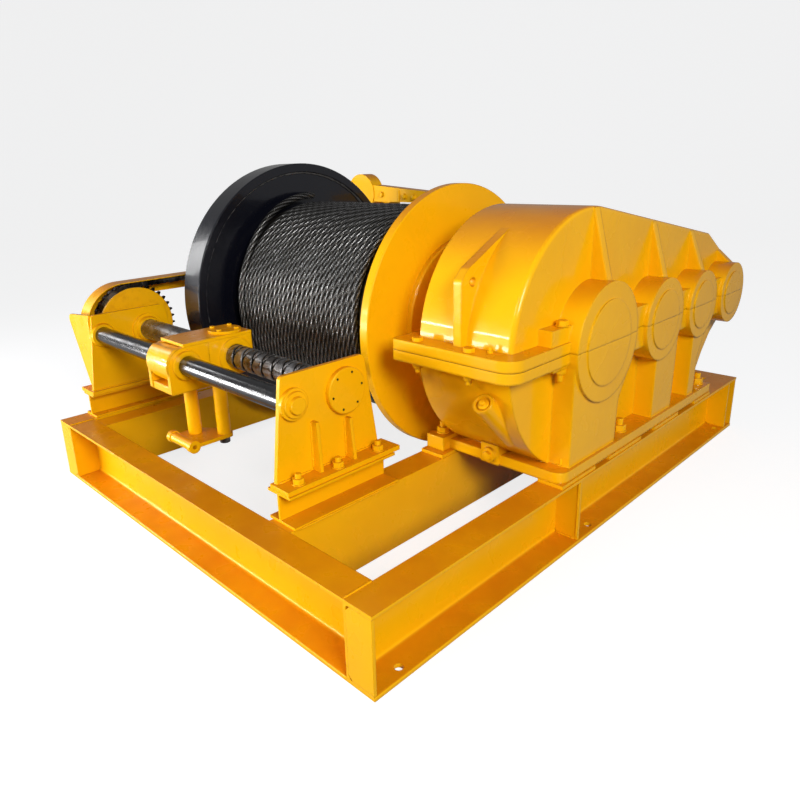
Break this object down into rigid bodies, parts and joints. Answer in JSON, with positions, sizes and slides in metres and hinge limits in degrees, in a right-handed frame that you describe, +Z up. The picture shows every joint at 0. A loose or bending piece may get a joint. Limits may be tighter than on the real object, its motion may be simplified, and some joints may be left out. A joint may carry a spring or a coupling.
{
  "type": "hydraulic winch",
  "caption": "Spooling hydraulic rope winch on a welded channel frame, with a chain-driven reversing screw rope guide, a brake drum flange and a cast gearbox.",
  "frame": {"origin": "centre of the frame's underside, on the floor, midway between the anchor holes", "axes": "+X along the drum from the chain side to the gearbox side, +Y from the rope guide at the front to the drive at the back, +Z up"},
  "size_m": [2.1006, 2.446, 1.288],
  "materials": {
    "brake_lever": "gloss",
    "brake_lever_post": "gloss",
    "brake_ring_flange": "gloss",
    "carriage_top_plate": "gloss",
    "chain_guard": "gloss",
    "drive_chain": "oiled",
    "drum_barrel": "gloss",
    "drum_pedestal": "gloss",
    "drum_pillow_block": "gloss",
    "drum_shaft": "machined",
    "drum_sprocket": "oiled",
    "end_plates": "gloss",
    "follower_block": "gloss",
    "follower_cap": "gloss",
    "front_channel": "gloss",
    "front_post": "gloss",
    "gear_side_flange": "gloss",
    "gearbox_lower_housing": "gloss",
    "gearbox_pads_left": "mill finish",
    "gearbox_pads_right": "mill finish",
    "gearbox_upper_housing": "gloss",
    "guide_rod": "polished",
    "hydraulic_motor": "satin",
    "lead_screw": "oiled, turned",
    "left_channel": "gloss",
    "left_inner_channel": "gloss",
    "left_pedestal": "gloss",
    "left_stand": "gloss",
    "middle_channel": "gloss",
    "motor_brake_housing": "gloss",
    "output_shaft": "machined",
    "post_tie_plate": "gloss",
    "rear_channel": "gloss",
    "rear_post": "gloss",
    "right_channel": "gloss",
    "right_pedestal": "gloss",
    "right_stand": "gloss",
    "rod_clamp": "gloss",
    "rod_collar_left": "gloss",
    "rod_end_cap": "gloss",
    "rope_guide_tube": "gloss",
    "rope_winding": "oiled wire rope",
    "screw_bearing_cap": "gloss",
    "screw_bearing_left": "gloss",
    "screw_sprocket": "gloss"
  },
  "bodies": {
    "frame": {"brake_lever": "brake_lever", "brake_lever_post": "brake_lever_post", "chain_guard": "chain_guard", "drive_chain": "drive_chain", "drum_pedestal": "drum_pedestal", "drum_pillow_block": "drum_pillow_block", "end_plates": "end_plates", "front_channel": "front_channel", "gearbox_lower_housing": "gearbox_lower_housing", "gearbox_pads_left": "gearbox_pads_left", "gearbox_pads_right": "gearbox_pads_right", "gearbox_upper_housing": "gearbox_upper_housing", "guide_rod": "guide_rod", "hydraulic_motor": "hydraulic_motor", "left_channel": "left_channel", "left_inner_channel": "left_inner_channel", "left_pedestal": "left_pedestal", "left_stand": "left_stand", "middle_channel": "middle_channel", "motor_brake_housing": "motor_brake_housing", "rear_channel": "rear_channel", "right_channel": "right_channel", "right_pedestal": "right_pedestal", "right_stand": "right_stand", "rod_collar_left": "rod_collar_left", "rod_end_cap": "rod_end_cap", "screw_bearing_cap": "screw_bearing_cap", "screw_bearing_left": "screw_bearing_left"},
    "drum": {"drum_barrel": "drum_barrel", "brake_ring_flange": "brake_ring_flange", "gear_side_flange": "gear_side_flange", "rope_winding": "rope_winding", "drum_shaft": "drum_shaft", "output_shaft": "output_shaft", "drum_sprocket": "drum_sprocket"},
    "screw": {"lead_screw": "lead_screw", "screw_sprocket": "screw_sprocket"},
    "carriage": {"rod_clamp": "rod_clamp", "follower_block": "follower_block", "carriage_top_plate": "carriage_top_plate", "follower_cap": "follower_cap", "front_post": "front_post", "rear_post": "rear_post", "post_tie_plate": "post_tie_plate", "rope_guide_tube": "rope_guide_tube"}
  },
  "joints": [
    {"name": "drum_spin", "type": "hinge", "parent": "frame", "child": "drum", "pos_m": [0, -0.104, 0.691], "axis": [1, 0, 0], "continuous": true},
    {"name": "screw_spin", "type": "hinge", "parent": "frame", "child": "screw", "pos_m": [0, -0.815, 0.5955], "axis": [1, 0, 0], "continuous": true},
    {"name": "carriage_slide", "type": "slide", "parent": "frame", "child": "carriage", "axis": [1, 0, 0], "range_m": [-0.09, 0.55]}
  ],
  "couplings": [
    {"joint": "screw_spin", "follows": "drum_spin", "ratio": 0.5}
  ]
}
